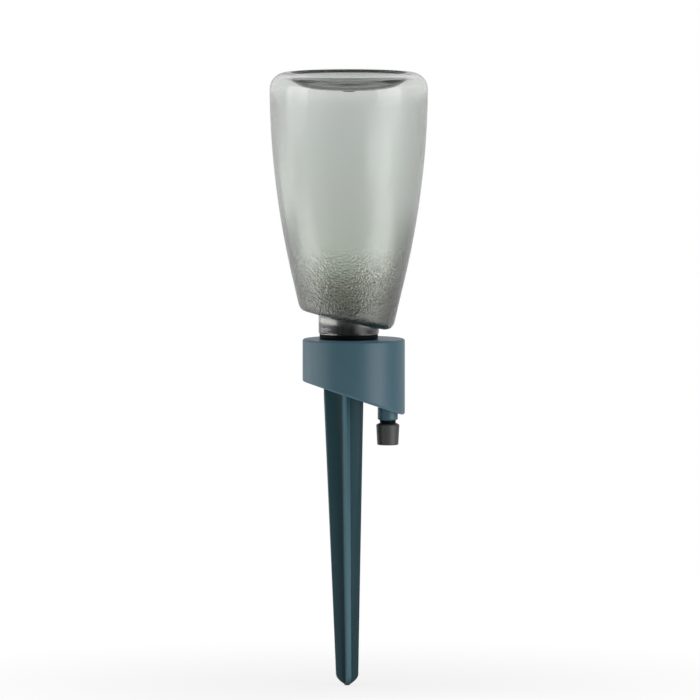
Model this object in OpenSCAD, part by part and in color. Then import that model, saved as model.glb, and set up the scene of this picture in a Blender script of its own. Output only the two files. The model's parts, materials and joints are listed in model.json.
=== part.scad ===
// Drip watering globe on a garden spike: an upturned bottle screws into a collar whose
// slanted floor leads the water to a drip nozzle, and a cross-shaped spike holds it in the soil.
// The origin is the level of the spike's tip on the bottle's axis. +Z is up, +X is the nozzle's side.

/* [Bottle] */
// Widest diameter of the bottle, near its foot
bottle_d = 85; // [80:0.5:92]
// Length of the bottle from its foot to the end of its neck
bottle_l = 155; // [140:1:180]
// Thickness of the bottle's wall
bottle_wall = 1.8; // [1.2:0.1:2.2]
// Radius of the long bow of the bottle's side
side_bow_r = 458; // [430:2:520]
// How far below the foot the bow would be widest
side_bow_drop = 5; // [0:0.5:8]
// Slope of the straight lower side, from upright
side_taper = 13.4; // [12.5:0.1:14]
// Radius of the round edge between the side and the foot
foot_round_r = 9; // [8:0.5:12]
// Width of the flat ring that the bottle stands on when it is taken off
foot_land_w = 1.5; // [1:0.1:3]
// Depth of the dished middle of the foot
punt_depth = 7.5; // [4:0.1:9]
// Radius of the dish's edge
punt_round_r = 1.2; // [0.8:0.1:1.5]
// Slope of the bottle's shoulder, falling towards the nozzle
shoulder_tilt = 13.3; // [8:0.1:15]
// Height of the shoulder above the end of the neck, on the bottle's axis
shoulder_h = 21.2; // [20.4:0.2:27]
// Radius of the shoulder's outer edge
shoulder_round_r = 5; // [3.5:0.1:6]

/* [Bottle neck] */
// Outer diameter of the neck where it shows
neck_d = 32.4; // [31.5:0.1:34]
// Outer diameter of the screw finish at the root of its thread
finish_d = 26.6; // [25.8:0.1:27.2]
// Length of the screw finish
finish_l = 14.5; // [13.5:0.1:16]
// Bore of the screw finish
finish_bore_d = 23.2; // [22:0.1:23.6]

/* [Vent plug] */
// Diameter of the plug's head
plug_head_d = 10.8; // [9:0.1:12]
// Thickness of the plug's head
plug_head_t = 1; // [0.8:0.1:2]
// Diameter of the vent hole
vent_d = 7; // [5:0.1:8]
// Length of the plug's shank below its head
plug_shank_l = 2.8; // [2.4:0.1:6]

/* [Neck gasket] */
// Outer diameter of the neck gasket
gasket_d = 31.4; // [31:0.1:32]
// Height of the neck gasket
gasket_h = 2.8; // [2:0.1:3.6]

/* [Collar] */
// Outer diameter of the collar
collar_d = 55; // [54:0.1:60]
// How far the collar's axis lies from the bottle's axis, towards the nozzle
collar_shift = 2.7; // [1.5:0.1:3.5]
// Height of the collar over the spike's seat, on the spike's axis
collar_h = 30.2; // [29:0.1:36]
// Thickness of the collar's wall
collar_wall = 2.6; // [2.2:0.1:3]
// Thickness of the collar's slanted floor
floor_t = 2.4; // [2:0.1:3]
// Slope of the collar's floor, falling towards the nozzle
floor_tilt = 19; // [15:0.5:21]
// Radius of the collar's lower edge
collar_low_round_r = 1.6; // [1.2:0.1:3]
// Radius of the collar's upper edge
collar_top_round_r = 1; // [0.6:0.1:1.3]
// Width of the collar's rim around the socket deck
rim_w = 1.6; // [1.5:0.1:1.8]

/* [Socket deck] */
// Thickness of the deck that closes the collar
deck_t = 2.4; // [2:0.1:3]
// Thickness of the ring that seals the deck
deck_seal_t = 0.8; // [0.6:0.1:1.2]
// Inner diameter of the threaded socket
socket_d = 29.2; // [28.6:0.1:29.6]
// Thickness of the socket's wall
socket_wall = 2; // [1.6:0.1:2.4]
// Height of the socket's lower lip
socket_lip_t = 1.6; // [1.2:0.1:2]
// Opening in the socket's lower lip
socket_lip_d = 25.2; // [24:0.1:26]

/* [Inlet strainer] */
// Outer diameter of the strainer's post
strainer_d = 13; // [11:0.1:14]
// Wall of the strainer's post
strainer_wall = 1.5; // [1.2:0.1:1.8]
// Height of the strainer's post above its flange
strainer_l = 28; // [26:0.5:36]
// Thickness of the strainer's flange
strainer_flange_t = 2; // [1.5:0.1:2.4]
// Number of slots around the strainer
strainer_slots = 8; // [6:1:10]
// Width of a strainer slot
slot_w = 1.3; // [0.8:0.1:1.6]

/* [Nozzle and valve stem] */
// Distance from the collar's face to the nozzle's axis
nozzle_edge = 8.9; // [8.5:0.1:10]
// Outer diameter of the nozzle
nozzle_d = 10.9; // [10.4:0.1:11.4]
// Bore of the nozzle
nozzle_bore_d = 7.2; // [6.6:0.1:7.6]
// How far the nozzle reaches below the floor, on its axis
nozzle_drop = 5.4; // [5:0.1:8]
// Height of the bevel around the nozzle's lower edge
nozzle_bevel = 0.6; // [0.3:0.1:1]
// Diameter of the valve stem's flange, the dark band above the knob
stem_flange_d = 8.6; // [8.2:0.1:9.4]
// Thickness of the valve stem's flange
stem_flange_t = 1.5; // [1:0.1:2]
// Diameter of the valve stem inside the knob
stem_d = 6.8; // [6.2:0.1:7]
// Length of the valve stem below its flange
stem_l = 6.8; // [6.5:0.1:7]
// Bore of the valve stem
stem_bore_d = 3.2; // [2.6:0.1:3.6]
// Length of the stem's plug in the nozzle
stem_spigot_l = 7; // [5:0.1:7.5]
// Diameter of the valve pin
pin_d = 2.3; // [1.8:0.1:2.6]

/* [Drip knob] */
// Diameter of the knob at its upper edge
knob_top_d = 12.5; // [12:0.1:13.5]
// Diameter of the knob at its lower end
knob_low_d = 11.4; // [11:0.1:12]
// Height of the knob
knob_h = 11.6; // [10.8:0.1:12.5]
// Height of the bevel around the knob's upper edge
knob_bevel_h = 0.8; // [0.5:0.1:1.2]
// Width of the bevel around the knob's upper edge
knob_bevel_w = 1.2; // [0.8:0.1:1.6]
// Thickness of the knob's web, where the valve pin closes it
knob_web_t = 1.2; // [1:0.1:1.4]
// Diameter of the drip mouth under the web
mouth_d = 5; // [4:0.1:5.6]
// Outer diameter of the ring that seals the knob on the stem
knob_seal_d = 9.2; // [8.8:0.1:9.6]
// Height of the ring that seals the knob on the stem
knob_seal_h = 1.8; // [1.4:0.1:2]

/* [Spike] */
// Length of the spike from its tip to its seat under the collar
spike_l = 156.5; // [130:0.5:200]
// Width of the spike's wings at the seat
spike_top_w = 21.5; // [19:0.1:23]
// Width of the spike's wings where the point begins
spike_low_w = 12; // [10:0.1:14]
// Height of the spike's point
point_h = 6.5; // [5:0.1:12]
// How far the seat lies from the bottle's axis, away from the nozzle
spike_shift = 2.8; // [2:0.1:3.4]
// How far the point lies from the bottle's axis, away from the nozzle
point_shift = 0.9; // [0:0.1:2]
// Thickness of the wings at the seat
wing_top_t = 3.4; // [3:0.1:4]
// Thickness of the wings at the tip
wing_low_t = 2.7; // [2:0.1:2.9]
// Diameter of the peg that plugs into the collar
peg_d = 12; // [10:0.1:13]
// Length of the peg above the seat, on its axis
peg_l = 10; // [8:0.1:10.4]

/* [Clearances] */
// Radial clearance of the fitted round pieces
fit_gap = 0.05; // [0.03:0.01:0.1]
// Clearance between pieces that don't guide each other
free_gap = 0.3; // [0.2:0.05:0.4]

/* [Hidden] */
$fn = 96;

// Overrun of every cut
over = 1;
// Steps along the bow of the bottle's side, and along its smaller rounds
bow_steps = 20;
round_steps = 14;
// How far a slanted base's round edge stands off the wall, and the arc that it runs on past it
edge_skin = fit_gap;
edge_lap = 8;
// Sharpness of the spike's point, 0.5 for a round one, and how late the foot's dish rises to its edge
point_share = 0.9;
dish_power = 4;
// How far the valve pin's end stays above the drip mouth
pin_land = knob_web_t / 6;
// Room for the thread between the valve stem and the knob
thread_room = free_gap / 2;

// Heights, each from the piece that carries it
seat_z = spike_l;
collar_top_z = seat_z + collar_h;
neck_step_z = collar_top_z + gasket_h;
neck_end_z = neck_step_z - finish_l;
deck_seal_z = collar_top_z - deck_t - deck_seal_t;
socket_low_z = neck_end_z - strainer_flange_t - socket_lip_t;

// The slanted floor's underside, and its height at a place
function floor_z(x) = seat_z - (x + spike_shift) * tan(floor_tilt);
nozzle_x = collar_shift + collar_d / 2 - nozzle_edge;
nozzle_end_z = floor_z(nozzle_x) - nozzle_drop;
knob_top_z = nozzle_end_z - stem_flange_t - free_gap;
knob_low_z = knob_top_z - knob_h;
stem_end_z = nozzle_end_z - stem_flange_t - stem_l;
web_top_z = stem_end_z - free_gap;
web_low_z = web_top_z - knob_web_t;
knob_seal_z = knob_top_z - knob_seal_h - (knob_top_d - knob_seal_d) / 4;

// Outline of the bottle's side: a long bow, tangent to the foot's round and to a straight taper
bow_x = bottle_d / 2 - side_bow_r;
bow_z = bottle_l - side_bow_drop;
foot_round_z = bottle_l - foot_round_r;
foot_arm = side_bow_r - foot_round_r;
foot_round_x = bow_x + sqrt(pow(foot_arm, 2) - pow(bow_z - foot_round_z, 2));
foot_round_a = -asin((bow_z - foot_round_z) / foot_arm);
dish_r = foot_round_x - foot_land_w - punt_round_r;
dish_seat_r = plug_head_d / 2 + free_gap;

// Points of an arc about a centre, from one angle to another, the first one left out on request
function arc(centre, r, from, to, steps, first = 0) = [
    for (i = [first:steps])
        let (a = from + (to - from) * i / steps)
            [centre[0] + r * cos(a), centre[1] + r * sin(a)]
];

// Radius of the straight lower side at a height, for a skin that lies inset within the bottle
function side_r(z, inset) =
    bow_x + (side_bow_r - inset) * cos(side_taper)
    - (bow_z - (side_bow_r - inset) * sin(side_taper) - z) * tan(side_taper);

// Height of the foot's dish at a radius
function dish_z(r) =
    let (rise = (r - dish_seat_r) / (dish_r - dish_seat_r))
        bottle_l - punt_depth + (punt_depth - punt_round_r) * pow(rise, dish_power);

// Outline of the bottle's body, or of its cavity when inset by the wall
function body_outline(inset) = concat(
    [[0, 0], [side_r(0, inset), 0]],
    arc([bow_x, bow_z], side_bow_r - inset, -side_taper, foot_round_a, bow_steps),
    arc([foot_round_x, foot_round_z], foot_round_r - inset, foot_round_a, 90, round_steps, 1),
    [for (p = arc([dish_r + punt_round_r, bottle_l - punt_round_r], punt_round_r, 90, 180, 4))
        [p[0], p[1] - inset]],
    [for (i = [1:round_steps])
        let (r = dish_r + (dish_seat_r - dish_r) * i / round_steps)
            [r, dish_z(r) - inset]],
    [[0, bottle_l - punt_depth - inset]]
);

// How far a round edge's tangent lies from the corner, in radii, for a wall with this lean
function edge_share(lean) = (1 - sin(lean)) / cos(lean);

// Everything above a slanted plane, with a round edge where the plane meets a wall of revolution.
// The plane crosses the wall's axis at the origin and falls towards +X. wall_r is the wall's radius
// there and slope its lean outwards. The edge is a tilted, slightly oval bowl, tangent to the wall at
// the low and the high side, and the space above the edge's upper line is left free for the wall.
module slanted_base(wall_r, slope, tilt, edge_r, reach) {
    low_lean = slope - tilt;
    high_lean = slope + tilt;
    low_edge = wall_r / (1 + tan(tilt) * tan(slope)) / cos(tilt);
    high_edge = wall_r / (1 - tan(tilt) * tan(slope)) / cos(tilt);
    core_r = (low_edge + high_edge - edge_r * (edge_share(low_lean) + edge_share(high_lean))) / 2;
    shift = (low_edge - high_edge - edge_r * (edge_share(low_lean) - edge_share(high_lean))) / 2;
    mid_r = wall_r - shift * sin(tilt) * tan(slope);
    mid_y = sqrt(pow(mid_r, 2) - pow(shift * cos(tilt), 2));
    mid_lean = atan((mid_r * tan(slope) * cos(tilt) - shift * cos(tilt) * sin(tilt)) / mid_y);
    oval = mid_y / (core_r + edge_r * edge_share(mid_lean));
    low_h = edge_r * (1 - sin(low_lean));
    high_h = edge_r * (1 - sin(high_lean));
    low_x = core_r + edge_r * cos(low_lean);
    high_x = core_r + edge_r * cos(high_lean);
    fall = atan((low_h - high_h) / (low_x + high_x));
    rotate([0, tilt, 0]) translate([shift, 0, 0]) {
        scale([1, oval, 1]) rotate_extrude()
            polygon(concat(
                [[0, 0]],
                arc([core_r + edge_skin, edge_r], edge_r, -90, edge_lap - low_lean, round_steps),
                [[0, edge_r * (1 + sin(edge_lap - low_lean))]]
            ));
        translate([low_x, 0, low_h]) rotate([0, -fall, 0])
            translate([-2 * reach, -reach, 0]) cube([4 * reach, 2 * reach, 2 * reach]);
    }
}

// Body of the bottle within its slanted shoulder, or its cavity when inset by the wall
module bottle_form(inset) {
    crossing_z = shoulder_h + inset / cos(shoulder_tilt);
    intersection() {
        rotate_extrude() polygon(body_outline(inset));
        translate([0, 0, crossing_z])
            slanted_base(side_r(crossing_z, inset), side_taper, shoulder_tilt,
                shoulder_round_r - inset, bottle_l);
    }
}

module bottle() {
    throat_z = finish_l + bottle_wall;
    neck_r = neck_d / 2;
    bore_r = finish_bore_d / 2;
    color([0.55, 0.58, 0.54, 0.5]) translate([0, 0, neck_end_z]) difference() {
        union() {
            bottle_form(0);
            translate([0, 0, finish_l]) cylinder(r = neck_r, h = shoulder_h - finish_l + bottle_wall / 2);
            cylinder(d = finish_d, h = finish_l + over);
        }
        bottle_form(bottle_wall);
        translate([0, 0, -over]) cylinder(r = bore_r, h = bottle_l / 2);
        translate([0, 0, throat_z]) cylinder(
            r1 = bore_r, r2 = neck_r - bottle_wall, h = neck_r - bottle_wall - bore_r);
        translate([0, 0, throat_z + neck_r - bottle_wall - bore_r])
            cylinder(r = neck_r - bottle_wall, h = bottle_l / 4);
        translate([0, 0, bottle_l / 2]) cylinder(d = vent_d, h = bottle_l);
    }
}

module vent_plug() {
    head_r = plug_head_d / 2;
    shank_r = vent_d / 2 - fit_gap;
    round_r = plug_head_t / 2;
    color([0.07, 0.08, 0.08]) translate([0, 0, neck_end_z + bottle_l - punt_depth])
        rotate_extrude() polygon(concat(
            [[0, -plug_shank_l], [shank_r - round_r, -plug_shank_l], [shank_r, round_r - plug_shank_l],
                [shank_r, 0], [head_r, 0]],
            arc([head_r - round_r, plug_head_t - round_r], round_r, 0, 90, 6),
            [[0, plug_head_t]]
        ));
}

module neck_gasket() {
    round_r = gasket_h / 4;
    outer_r = gasket_d / 2 - round_r;
    inner_r = finish_d / 2 + free_gap;
    color([0.03, 0.03, 0.03]) translate([0, 0, collar_top_z])
        rotate_extrude() polygon(concat(
            [[inner_r, 0]],
            arc([outer_r, round_r], round_r, -90, 0, 5),
            arc([outer_r, gasket_h - round_r], round_r, 0, 90, 5),
            [[inner_r, gasket_h]]
        ));
}

module inlet_strainer() {
    post_r = strainer_d / 2;
    bore_r = post_r - strainer_wall;
    slot_l = strainer_l - post_r - strainer_flange_t;
    color([0.04, 0.04, 0.04]) translate([0, 0, neck_end_z - strainer_flange_t]) difference() {
        union() {
            cylinder(r = socket_d / 2 - free_gap, h = strainer_flange_t);
            cylinder(r = post_r, h = strainer_flange_t + strainer_l - strainer_wall);
            translate([0, 0, strainer_flange_t + strainer_l - strainer_wall])
                cylinder(r1 = post_r, r2 = post_r - strainer_wall, h = strainer_wall);
        }
        translate([0, 0, -over])
            cylinder(r = bore_r, h = over + strainer_flange_t + strainer_l - strainer_wall);
        for (i = [0:strainer_slots - 1]) rotate([0, 0, 360 * i / strainer_slots])
            translate([0, -slot_w / 2, 2 * strainer_flange_t]) cube([strainer_d, slot_w, slot_l]);
    }
}

module socket_deck() {
    socket_r = socket_d / 2;
    color([0.33, 0.43, 0.47]) difference() {
        union() {
            translate([collar_shift, 0, collar_top_z - deck_t])
                cylinder(r = collar_d / 2 - rim_w - fit_gap, h = deck_t);
            translate([0, 0, socket_low_z])
                cylinder(r = socket_r + socket_wall, h = collar_top_z - deck_t / 2 - socket_low_z);
        }
        translate([0, 0, neck_end_z - strainer_flange_t])
            cylinder(r = socket_r, h = collar_top_z - neck_end_z + strainer_flange_t + over);
        translate([0, 0, socket_low_z - over]) cylinder(d = socket_lip_d, h = socket_lip_t + 2 * over);
    }
}

module deck_seal() {
    color([0.05, 0.05, 0.05]) translate([collar_shift, 0, deck_seal_z]) difference() {
        cylinder(r = collar_d / 2 - rim_w - fit_gap, h = deck_seal_t);
        translate([0, 0, -over]) cylinder(r = collar_d / 2 - collar_wall, h = deck_seal_t + 2 * over);
    }
}

// Outside of the collar: an upright cylinder with a round upper edge on the slanted, rounded base
module collar_form() {
    collar_r = collar_d / 2;
    low_z = floor_z(collar_shift + collar_d);
    translate([collar_shift, 0, 0]) intersection() {
        rotate_extrude() polygon(concat(
            [[0, low_z], [collar_r, low_z]],
            arc([collar_r - collar_top_round_r, collar_top_z - collar_top_round_r],
                collar_top_round_r, 0, 90, 6),
            [[0, collar_top_z]]
        ));
        translate([0, 0, floor_z(collar_shift)])
            slanted_base(collar_r, 0, floor_tilt, collar_low_round_r, collar_d);
    }
}

// Inside of the collar, above its slanted floor
module sump_form() {
    sump_r = collar_d / 2 - collar_wall;
    translate([collar_shift, 0, 0]) intersection() {
        translate([0, 0, floor_z(collar_d)]) cylinder(r = sump_r, h = collar_top_z);
        translate([0, 0, floor_z(collar_shift) + floor_t / cos(floor_tilt)])
            rotate([0, floor_tilt, 0]) translate([-collar_d, -collar_d, 0])
                cube([2 * collar_d, 2 * collar_d, collar_d]);
    }
}

module collar() {
    boss_r = peg_d / 2 + fit_gap + floor_t;
    boss_top_z = seat_z + peg_l + free_gap + floor_t / 2;
    color([0.33, 0.43, 0.47]) difference() {
        union() {
            difference() {
                collar_form();
                sump_form();
                translate([collar_shift, 0, deck_seal_z])
                    cylinder(r = collar_d / 2 - rim_w, h = collar_h);
            }
            intersection() {
                translate([-spike_shift, 0, floor_z(boss_r)])
                    cylinder(r = boss_r, h = boss_top_z - floor_z(boss_r));
                translate([0, 0, seat_z]) translate([-spike_shift, 0, floor_t / 2])
                    rotate([0, floor_tilt, 0]) translate([-collar_d, -collar_d, 0])
                        cube([2 * collar_d, 2 * collar_d, collar_d]);
            }
            translate([nozzle_x, 0, nozzle_end_z])
                cylinder(d1 = nozzle_d - 2 * nozzle_bevel, d2 = nozzle_d, h = nozzle_bevel);
            translate([nozzle_x, 0, nozzle_end_z + nozzle_bevel])
                cylinder(d = nozzle_d, h = nozzle_drop + floor_t / 2 - nozzle_bevel);
        }
        translate([-spike_shift, 0, 0]) cylinder(r = peg_d / 2 + fit_gap, h = seat_z + peg_l + free_gap);
        translate([nozzle_x, 0, nozzle_end_z - over]) cylinder(d = nozzle_bore_d, h = collar_h);
    }
}

// Half outline of the spike seen flat: straight tapered edges that run into a blunt point
function spike_edge(side) = concat(
    [[side * spike_top_w / 2 - spike_shift, seat_z + spike_top_w]],
    [[side * spike_top_w / 2 - spike_shift, seat_z]],
    [for (i = [0:round_steps])
        let (h = point_h * pow(1 - i / round_steps, 2))
            [side * spike_low_w / 2 * pow(1 - pow(1 - h / point_h, 2), point_share) - point_shift, h]]
);

// Reverses a list of points
function reversed(points) = [for (i = [len(points) - 1:-1:0]) points[i]];

// One flat plate of the spike's cross, shifted as the axis leans, upright to Y
module wing_plate() {
    intersection() {
        rotate([90, 0, 0]) linear_extrude(height = spike_top_w, center = true)
            polygon(concat(spike_edge(-1), reversed(spike_edge(1))));
        rotate([90, 0, 90]) linear_extrude(height = 4 * spike_top_w, center = true)
            polygon([
                [-wing_low_t / 2, 0], [wing_low_t / 2, 0],
                [wing_top_t / 2, seat_z], [wing_top_t / 2, seat_z + spike_top_w],
                [-wing_top_t / 2, seat_z + spike_top_w], [-wing_top_t / 2, seat_z]
            ]);
    }
}

module spike() {
    color([0.16, 0.27, 0.31]) {
        difference() {
            union() {
                wing_plate();
                rib_plate();
            }
            difference() {
                above_seat();
                peg();
            }
        }
        intersection() {
            above_seat();
            peg();
        }
    }
}

// Everything above the slanted plane that the spike seats on
module above_seat() {
    translate([-spike_shift, 0, seat_z]) rotate([0, floor_tilt, 0])
        translate([-spike_l, -spike_l, 0]) cube([2 * spike_l, 2 * spike_l, spike_l]);
}

// The peg before it is cut off at the seat
module peg() {
    translate([-spike_shift, 0, seat_z - peg_l]) cylinder(d = peg_d, h = 2 * peg_l);
}

// The plate that crosses the wings, with its thickness along X and its width along Y
module rib_plate() {
    lean_share = (spike_shift - point_shift) / seat_z;
    intersection() {
        rotate([90, 0, 90]) linear_extrude(height = 4 * spike_top_w, center = true)
            polygon([for (p = concat(spike_edge(-1), reversed(spike_edge(1))))
                [p[0] + point_shift + lean_share * min(p[1], seat_z), p[1]]]);
        rotate([90, 0, 0]) linear_extrude(height = 2 * spike_top_w, center = true)
            polygon([
                [-point_shift - wing_low_t / 2, 0], [-point_shift + wing_low_t / 2, 0],
                [-spike_shift + wing_top_t / 2, seat_z],
                [-spike_shift + wing_top_t / 2, seat_z + spike_top_w],
                [-spike_shift - wing_top_t / 2, seat_z + spike_top_w],
                [-spike_shift - wing_top_t / 2, seat_z]
            ]);
    }
}

module valve_stem() {
    stem_r = stem_d / 2;
    bore_end_z = stem_end_z + pin_d / 2;
    color([0.05, 0.05, 0.06]) translate([nozzle_x, 0, 0]) difference() {
        union() {
            translate([0, 0, nozzle_end_z]) cylinder(r = nozzle_bore_d / 2 - fit_gap, h = stem_spigot_l);
            translate([0, 0, nozzle_end_z - stem_flange_t]) cylinder(d = stem_flange_d, h = stem_flange_t);
            translate([0, 0, stem_end_z]) cylinder(r = stem_r, h = stem_l + over);
            translate([0, 0, web_low_z + pin_land]) cylinder(d = pin_d, h = stem_end_z - web_low_z);
        }
        translate([0, 0, bore_end_z]) cylinder(d = stem_bore_d, h = stem_l + stem_flange_t + collar_h);
        translate([0, 0, bore_end_z + stem_bore_d / 4]) rotate([90, 0, 0])
            cylinder(d = stem_bore_d / 2, h = 2 * stem_d, center = true);
    }
}

module knob_seal() {
    color([0.03, 0.03, 0.03]) translate([nozzle_x, 0, knob_seal_z]) difference() {
        cylinder(d = knob_seal_d, h = knob_seal_h);
        translate([0, 0, -over]) cylinder(r = stem_d / 2 + fit_gap, h = knob_seal_h + 2 * over);
    }
}

module drip_knob() {
    edge_r = (knob_top_d - knob_low_d) / 3;
    color([0.22, 0.23, 0.22]) translate([nozzle_x, 0, 0]) difference() {
        rotate_extrude() polygon([
            [0, knob_low_z], [knob_low_d / 2 - edge_r, knob_low_z], [knob_low_d / 2, knob_low_z + edge_r],
            [knob_top_d / 2, knob_top_z - knob_bevel_h], [knob_top_d / 2 - knob_bevel_w, knob_top_z],
            [0, knob_top_z]
        ]);
        translate([0, 0, web_top_z]) cylinder(r = stem_d / 2 + thread_room, h = knob_h);
        translate([0, 0, knob_seal_z - fit_gap])
            cylinder(r = knob_seal_d / 2 + fit_gap, h = knob_seal_h + 2 * fit_gap);
        translate([0, 0, knob_low_z - over]) cylinder(d = mouth_d, h = web_low_z - knob_low_z + over);
        translate([0, 0, web_low_z - over]) cylinder(r = pin_d / 2 + 2 * fit_gap, h = knob_web_t + 2 * over);
    }
}

bottle();
vent_plug();
neck_gasket();
inlet_strainer();
socket_deck();
deck_seal();
collar();
spike();
valve_stem();
knob_seal();
drip_knob();
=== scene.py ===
"""Looks of an upturned drip bottle on its slanted collar and garden spike.

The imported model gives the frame. This script dresses it: the hammered smoky bottle, the moulded
plastic of collar, spike and knob, the rubber seals, the screw threads, the light and the camera.
"""
import json
import logging
import math
from dataclasses import dataclass, field
from enum import Enum

import bmesh
import bpy
import numpy as np
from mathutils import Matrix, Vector

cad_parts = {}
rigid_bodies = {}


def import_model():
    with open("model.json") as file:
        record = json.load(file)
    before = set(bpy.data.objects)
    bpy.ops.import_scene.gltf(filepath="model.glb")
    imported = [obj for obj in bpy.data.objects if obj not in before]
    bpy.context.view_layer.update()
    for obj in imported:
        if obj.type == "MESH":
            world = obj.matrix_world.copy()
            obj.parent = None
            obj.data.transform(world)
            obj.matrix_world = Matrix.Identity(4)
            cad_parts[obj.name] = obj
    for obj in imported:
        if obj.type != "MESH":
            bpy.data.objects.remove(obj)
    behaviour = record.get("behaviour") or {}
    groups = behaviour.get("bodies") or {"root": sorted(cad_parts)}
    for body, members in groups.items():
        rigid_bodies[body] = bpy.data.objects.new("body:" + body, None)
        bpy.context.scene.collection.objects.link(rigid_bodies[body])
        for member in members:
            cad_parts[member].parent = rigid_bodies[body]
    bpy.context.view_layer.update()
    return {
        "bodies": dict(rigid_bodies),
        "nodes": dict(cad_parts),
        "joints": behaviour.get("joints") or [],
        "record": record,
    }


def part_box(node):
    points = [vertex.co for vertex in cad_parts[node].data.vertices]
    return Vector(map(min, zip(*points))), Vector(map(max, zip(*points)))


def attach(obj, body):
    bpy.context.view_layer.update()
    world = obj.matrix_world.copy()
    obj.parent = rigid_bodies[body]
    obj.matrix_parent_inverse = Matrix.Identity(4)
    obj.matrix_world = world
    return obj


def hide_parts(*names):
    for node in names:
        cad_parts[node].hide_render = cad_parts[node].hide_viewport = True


LOG = logging.getLogger("watering_globe")
MM = 0.001

Colour = tuple[float, float, float]
Points = list[tuple[float, float]]
Tree = bpy.types.NodeTree
Socket = bpy.types.NodeSocket
Feed = float | Socket

# A Mix node's colour sockets share their names with its other sockets, so they go by number.
COLOUR_A, COLOUR_B, COLOUR_OUT = 6, 7, 2
NOISE_MIDDLE = 0.5

# The bottle's neck and the collar's socket have the same screw.
BOTTLE_PITCH = 4 * MM
BOTTLE_CREST = 0.75 * MM


class Side(Enum):
    """Which way a screw thread's crest points."""

    OUTWARD = 1
    INWARD = -1


class Skin(Enum):
    """Kinds of opaque surface, each with the strength of its highlights."""

    SATIN_PLASTIC = 0.5
    SOFT_PLASTIC = 0.2
    DULL_PLASTIC = 0.1
    RUBBER = 0.12


def put(tree: Tree, kind: str, links: dict | None = None, **settings: object) -> bpy.types.Node:
    """Adds a node to a tree and fills its inputs.

    Args:
        tree: the shader or geometry tree that takes the node.
        kind: the node's type name.
        links: input names or numbers, each with a socket to link or a value to set.
        settings: properties of the node itself.

    Returns:
        The new node.
    """
    node = tree.nodes.new(kind)
    for name, value in settings.items():
        setattr(node, name, value)
    for key, value in (links or {}).items():
        if isinstance(value, Socket):
            tree.links.new(value, node.inputs[key])
        else:
            node.inputs[key].default_value = value
    return node


def math_node(tree: Tree, operation: str, *values: Feed) -> Socket:
    """Adds a Math node.

    Args:
        tree: the tree that takes the node.
        operation: the Math node's operation.
        values: its inputs in order, numbers or sockets.

    Returns:
        The socket with the result.
    """
    return put(tree, "ShaderNodeMath", dict(enumerate(values)), operation=operation).outputs[0]


def ranged(tree: Tree, value: Socket, low: float, high: float, start: Feed = 0.0, end: Feed = 1.0,
           soft: bool = False) -> Socket:
    """Maps a value from one range to another and holds it at both ends.

    Args:
        tree: the tree that takes the Map Range node.
        value: what is mapped.
        low: the value that gives start.
        high: the value that gives end.
        start: the result at low, a number or a socket.
        end: the result at high, a number or a socket.
        soft: whether the result eases in and out.

    Returns:
        The socket with the result.
    """
    links = {"Value": value, "From Min": low, "From Max": high, "To Min": start, "To Max": end}
    kind = "SMOOTHSTEP" if soft else "LINEAR"
    return put(tree, "ShaderNodeMapRange", links, interpolation_type=kind).outputs["Result"]


def pick(tree: Tree, mask: Socket, off: Feed, on: Feed) -> Socket:
    """Returns a value that goes from off to on as a mask goes from 0 to 1."""
    return ranged(tree, mask, 0.0, 1.0, off, on)


def mix_colours(tree: Tree, share: Feed, first: tuple | Socket, second: tuple | Socket,
                blend: str = "MIX") -> Socket:
    """Mixes two colours.

    Args:
        tree: the shader tree that takes the Mix node.
        share: how much of the second colour shows.
        first: the lower colour, a socket or four numbers.
        second: the upper colour, a socket or four numbers.
        blend: how the node blends them.

    Returns:
        The socket with the mixed colour.
    """
    node = put(tree, "ShaderNodeMix", {0: share, COLOUR_A: first, COLOUR_B: second},
               data_type="RGBA", blend_type=blend)
    return node.outputs[COLOUR_OUT]


def new_group(name: str, kind: str, inputs: dict, outputs: dict) -> tuple:
    """Starts a node group with named sockets.

    Args:
        name: the group's name.
        kind: ShaderNodeTree or GeometryNodeTree.
        inputs: socket names, each with its type and its first value or None.
        outputs: socket names, each with its type.

    Returns:
        The group, the sockets of its input node by name, and its output node.
    """
    tree = bpy.data.node_groups.new(name, kind)
    for label, (socket_type, value) in inputs.items():
        socket = tree.interface.new_socket(label, in_out="INPUT", socket_type=socket_type)
        if value is not None:
            socket.default_value = value
    for label, socket_type in outputs.items():
        tree.interface.new_socket(label, in_out="OUTPUT", socket_type=socket_type)
    source = tree.nodes.new("NodeGroupInput")
    target = tree.nodes.new("NodeGroupOutput")
    return tree, source.outputs, target


def new_object(name: str, mesh: bpy.types.Mesh) -> bpy.types.Object:
    """Puts a mesh into the scene as a smooth-shaded object at the origin.

    Args:
        name: the object's name.
        mesh: its mesh.

    Returns:
        The object.
    """
    mesh.shade_smooth()
    piece = bpy.data.objects.new(name, mesh)
    bpy.context.scene.collection.objects.link(piece)
    return piece


def run_tree(name: str, tree: Tree, values: dict, mesh: bpy.types.Mesh | None = None) -> bpy.types.Object:
    """Runs a Geometry Nodes tree and keeps the result as a plain mesh.

    Args:
        name: name of the finished piece.
        tree: the Geometry Nodes group.
        values: its inputs by name.
        mesh: the mesh that the tree starts from, or None for an empty one.

    Returns:
        The finished piece, without a modifier.
    """
    carrier = bpy.data.objects.new(name + "_carrier", mesh or bpy.data.meshes.new(name + "_empty"))
    bpy.context.scene.collection.objects.link(carrier)
    modifier = carrier.modifiers.new("Shape", "NODES")
    modifier.node_group = tree
    for socket in tree.interface.items_tree:
        if socket.item_type == "SOCKET" and socket.in_out == "INPUT" and socket.name in values:
            modifier[socket.identifier] = values[socket.name]
    graph = bpy.context.evaluated_depsgraph_get()
    graph.update()
    made = bpy.data.meshes.new_from_object(carrier.evaluated_get(graph))
    made.name = name
    bpy.data.objects.remove(carrier)
    return new_object(name, made)


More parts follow.
